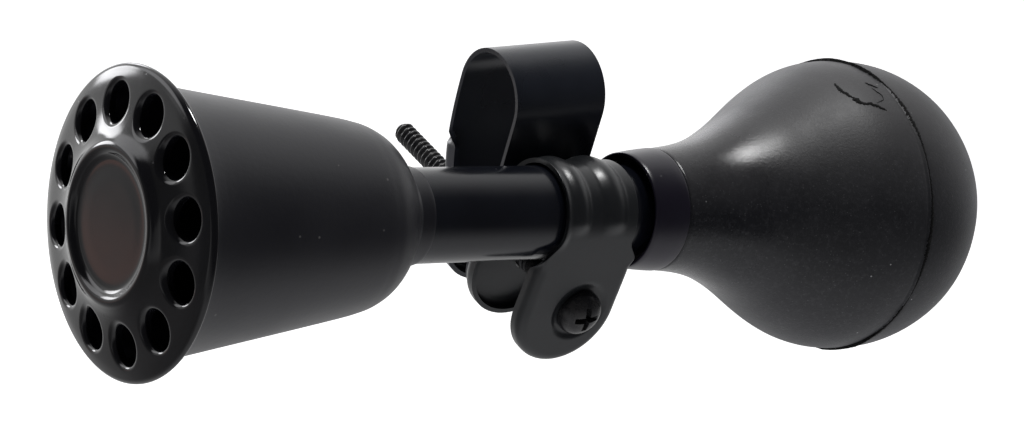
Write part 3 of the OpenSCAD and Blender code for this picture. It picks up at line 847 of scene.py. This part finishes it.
def turned_y(name, profile, material, seg=96, sharp=35.0):
    """A closed shell turned about the screw axis, from (y, r) points."""
    verts, faces, rows = [], [], []
    for y, r in profile:
        if r < 1e-4:
            rows.append([len(verts)])
            verts.append(Vector((0, y, SCREW_Z)))
        else:
            rows.append(list(range(len(verts), len(verts) + seg)))
            verts += [Vector((r * math.sin(2 * math.pi * i / seg), y, SCREW_Z + r * math.cos(2 * math.pi * i / seg))) for i in range(seg)]
    for a, b in zip(rows, rows[1:]):
        for i in range(seg):
            j = (i + 1) % seg
            if len(a) == 1:
                faces.append((a[0], b[j], b[i]))
            elif len(b) == 1:
                faces.append((a[i], a[j], b[0]))
            else:
                faces.append((a[i], a[j], b[j], b[i]))
    return mesh_object(name, verts, faces, material, sharp)


HEAD_Y = -10.22
head_line = [(HEAD_Y, 0.0), (HEAD_Y, 4.9)] + [tuple(q) for q in spline([(HEAD_Y - 0.12, 5.03), (HEAD_Y - 0.5, 5.08), (HEAD_Y - 1.1, 5.02), (HEAD_Y - 1.9, 4.75), (HEAD_Y - 2.7, 4.15), (HEAD_Y - 3.3, 3.3), (HEAD_Y - 3.75, 2.1), (HEAD_Y - 3.95, 1.0)], 5)] + [(HEAD_Y - 4.0, 0.0)]
head = turned_y("screw_head", head_line, M_SCREW)
# cross recess: four tapered wings and a pointed middle, cut out of the head
cv, cf = [], []
TWIST = math.radians(8)
for q in range(2):
    base = len(cv)
    for y, long_, wide in ((HEAD_Y - 4.7, 3.5, 0.8), (HEAD_Y - 2.4, 2.3, 0.5), (HEAD_Y - 1.0, 0.5, 0.3)):
        for sx, sz in ((-1, -1), (1, -1), (1, 1), (-1, 1)):
            px, pz = sx * long_, sz * wide
            a = TWIST + q * math.pi / 2
            cv.append(Vector((px * math.cos(a) - pz * math.sin(a), y, SCREW_Z + px * math.sin(a) + pz * math.cos(a))))
    for lvl in (0, 1):
        o = base + lvl * 4
        for i in range(4):
            j = (i + 1) % 4
            cf.append((o + i, o + j, o + 4 + j, o + 4 + i))
    cf.append((base, base + 3, base + 2, base + 1))
    cf.append((base + 8, base + 9, base + 10, base + 11))
for q in range(2):
    cutter = mesh_object(f"cutter_{q}", cv[q * 12:q * 12 + 12], [tuple(i - q * 12 for i in f) for f in cf[q * 6 * 0 + q * 10:q * 10 + 10]], M_SCREW, 30)
    mod = head.modifiers.new("recess", "BOOLEAN")
    mod.operation = "DIFFERENCE"
    mod.solver = "EXACT"
    mod.object = cutter
    bake(head)
    bpy.data.objects.remove(cutter)
mod = head.modifiers.new("edge", "BEVEL")
mod.limit_method = "ANGLE"
mod.angle_limit = math.radians(50)
mod.width = 0.00012
mod.segments = 2
bake(head)
shade(head, 40)

PITCH, CREST, ROOT, TIP = 1.5, 2.4, 1.86, 62.2


def thread_mesh():
    """Plain neck under the head, then a right-hand thread out to a chamfered tip."""
    seg, step = 64, PITCH / 12
    first = 6.0
    rows, verts, faces = [], [], []
    ys = [HEAD_Y + 0.2, HEAD_Y + 6, first - 1.0]
    count = int((TIP - first) / step)
    ys += [first + step * i for i in range(count + 1)]
    if ys[-1] < TIP - 1e-6:
        ys.append(TIP)
    for y in ys:
        row_ = []
        for i in range(seg):
            w = 2 * math.pi * i / seg
            if y < first:
                r = 2.2
            else:
                ph = (y / PITCH - i / seg) % 1.0
                tri = 1 - abs(2 * ph - 1)
                tri = min(1.0, max(0.0, (tri - 0.12) / 0.72))
                r = ROOT + (CREST - ROOT) * (0.5 - 0.5 * math.cos(math.pi * tri)) ** 0.8
                grow = min(1.0, (y - first) / 2.0)
                r = 2.2 + (r - 2.2) * grow
                r = min(r, 1.55 + max(0.0, TIP - y) * 0.75)
            row_.append(len(verts))
            verts.append(Vector((r * math.sin(w), y, SCREW_Z + r * math.cos(w))))
        rows.append(row_)
    for a, b in zip(rows, rows[1:]):
        for i in range(seg):
            j = (i + 1) % seg
            faces.append((a[i], a[j], b[j], b[i]))
    for row_, y in ((rows[0], ys[0]), (rows[-1], TIP)):
        c = len(verts)
        verts.append(Vector((0, y, SCREW_Z)))
        for i in range(seg):
            faces.append((row_[i], row_[(i + 1) % seg], c))
    return verts, faces


verts, faces = thread_mesh()
thread = mesh_object("screw_thread", verts, faces, M_SCREW, 75)
for piece in (head, thread):
    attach(piece, "screw")
    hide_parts("clamp_screw")

# ---------------------------------------------------------------- carried-over CAD nodes

for node, material in (("clamp_nut", M_SCREW), ("reed_holder", M_BRASS), ("reed_shallot", M_BRASS), ("reed_tongue", M_BRASS), ("reed_wedge", M_BRASS)):
    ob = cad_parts[node]
    if not ob.material_slots:
        ob.data.materials.append(material)
    for s in ob.material_slots:
        s.material = material

# ---------------------------------------------------------------- studio

floor_me = bpy.data.meshes.new("floor")
floor_me.from_pydata([(-6, -6, -0.45), (6, -6, -0.45), (6, 6, -0.45), (-6, 6, -0.45)], [], [(0, 1, 2, 3)])
floor = bpy.data.objects.new("floor", floor_me)
bpy.context.scene.collection.objects.link(floor)
fm = bpy.data.materials.new("pale_floor")
fm.use_nodes = True
fb = fm.node_tree.nodes["Principled BSDF"]
fb.inputs["Base Color"].default_value = (0.9, 0.9, 0.9, 1.0)
fb.inputs["Roughness"].default_value = 0.9
fb.inputs["Specular IOR Level"].default_value = 0.1
fb.inputs["Emission Color"].default_value = (1.0, 1.0, 1.0, 1.0)
fb.inputs["Emission Strength"].default_value = 0.75
floor_me.materials.append(fm)
# gloss mirrors the grey table of the room, not the white floor
floor.visible_glossy = False

world = bpy.data.worlds.new("studio")
bpy.context.scene.world = world
world.use_nodes = True
wt = world.node_tree
wt.nodes.clear()
w_out = wt.nodes.new("ShaderNodeOutputWorld")
w_bg = wt.nodes.new("ShaderNodeBackground")
w_coord = wt.nodes.new("ShaderNodeTexCoord")


def w_add(kind, **settings):
    n = wt.nodes.new(kind)
    for k, v in settings.items():
        setattr(n, k, v)
    return n


def w_dot(direction):
    n = w_add("ShaderNodeVectorMath", operation="DOT_PRODUCT")
    n.inputs[1].default_value = direction
    wt.links.new(w_coord.outputs["Generated"], n.inputs[0])
    return n.outputs["Value"]


def w_range(value, lo, hi, a, b):
    n = w_add("ShaderNodeMapRange", interpolation_type="SMOOTHSTEP")
    for key, v in (("From Min", lo), ("From Max", hi), ("To Min", a), ("To Max", b)):
        n.inputs[key].default_value = v
    wt.links.new(value, n.inputs["Value"])
    return n.outputs["Result"]


def w_mix(fac, a, b):
    n = w_add("ShaderNodeMix", data_type="RGBA")
    wt.links.new(fac, n.inputs["Factor"])
    for value, socket in ((a, n.inputs["A"]), (b, n.inputs["B"])):
        if isinstance(value, tuple):
            socket.default_value = (*value, 1.0)
        else:
            wt.links.new(value, socket)
    return n.outputs["Result"]


def w_smooth(direction, lo, hi):
    return w_range(w_dot(direction), lo, hi, 0.0, 1.0)


def w_times(a, b):
    n = w_add("ShaderNodeMath", operation="MULTIPLY")
    wt.links.new(a, n.inputs[0])
    wt.links.new(b, n.inputs[1])
    return n.outputs["Value"]


# the room: dim in front and overhead, bright paper behind, a grey table below
# that is dark and brownish towards the bell's side, and a window low at the back
UP = (0.0, 0.0, 1.0)
sky = w_mix(w_smooth((0.48, 0.83, 0.0), 0.1, 0.5), (0.06, 0.06, 0.065), (0.78, 0.78, 0.79))
sky = w_mix(w_smooth(UP, 0.68, 0.9), sky, (0.06, 0.06, 0.065))
near_table = w_mix(w_smooth((0.0, 0.0, -1.0), 0.0, 0.5), (0.12, 0.12, 0.125), (0.56, 0.56, 0.57))
table = w_mix(w_smooth((0.0, 1.0, 0.0), -0.3, 0.3), near_table, (0.62, 0.62, 0.62))
left = w_times(w_smooth((-0.8, 0.2, -0.57), 0.6, 0.97), w_smooth((0.0, 0.0, -1.0), 0.27, 0.42))
table = w_mix(left, table, (0.18, 0.175, 0.175))
wood = w_times(w_smooth((-0.512, 0.715, -0.477), 0.9965, 0.9985), w_smooth((0.05, 0.0, -1.0), 0.4495, 0.4540))
table = w_mix(wood, table, (0.62, 0.42, 0.38))
room = w_mix(w_smooth(UP, -0.05, 0.03), table, sky)
room = w_mix(w_smooth((0.15, 0.97, 0.0), 0.6, 0.9), room, (1.15, 1.15, 1.15))
room = w_mix(w_smooth((0.3, 0.95, 0.05), 0.93, 0.985), room, (2.0, 2.0, 2.05))
room = w_mix(w_smooth((0.08, 0.98, 0.16), 0.978, 0.995), room, (8.0, 8.0, 8.2))
room = w_mix(w_times(w_smooth((-0.58, 0.80, 0.12), 0.93, 0.97), w_smooth(UP, -0.06, 0.02)), room, (2.3, 2.3, 2.35))
room = w_mix(w_smooth((-0.92, 0.38, -0.17), 0.95, 0.985), room, (0.10, 0.10, 0.10))
room = w_mix(w_smooth((-0.352, 0.923, -0.158), 0.984, 0.993), room, (9.0, 9.0, 9.2))
wt.links.new(room, w_bg.inputs["Color"])
w_bg.inputs["Strength"].default_value = 1.0
wt.links.new(w_bg.outputs["Background"], w_out.inputs["Surface"])


def area(name, place, aim, size, power, colour=(1, 1, 1)):
    data = bpy.data.lights.new(name, "AREA")
    data.shape = "RECTANGLE"
    data.size, data.size_y = size
    data.energy = power
    data.color = colour
    ob = bpy.data.objects.new(name, data)
    bpy.context.scene.collection.objects.link(ob)
    ob.location = place
    ob.rotation_mode = "QUATERNION"
    ob.rotation_quaternion = (Vector(aim) - Vector(place)).to_track_quat("-Z", "Y")
    return ob


area("top_softbox", (0.05, 0.30, 1.0), (0, 0, 0), (0.24, 0.2), 8.0)

scene = bpy.context.scene
scene.view_settings.view_transform = "Standard"
scene.view_settings.look = "None"
scene.view_settings.exposure = 0.0
scene.view_settings.gamma = 1.0
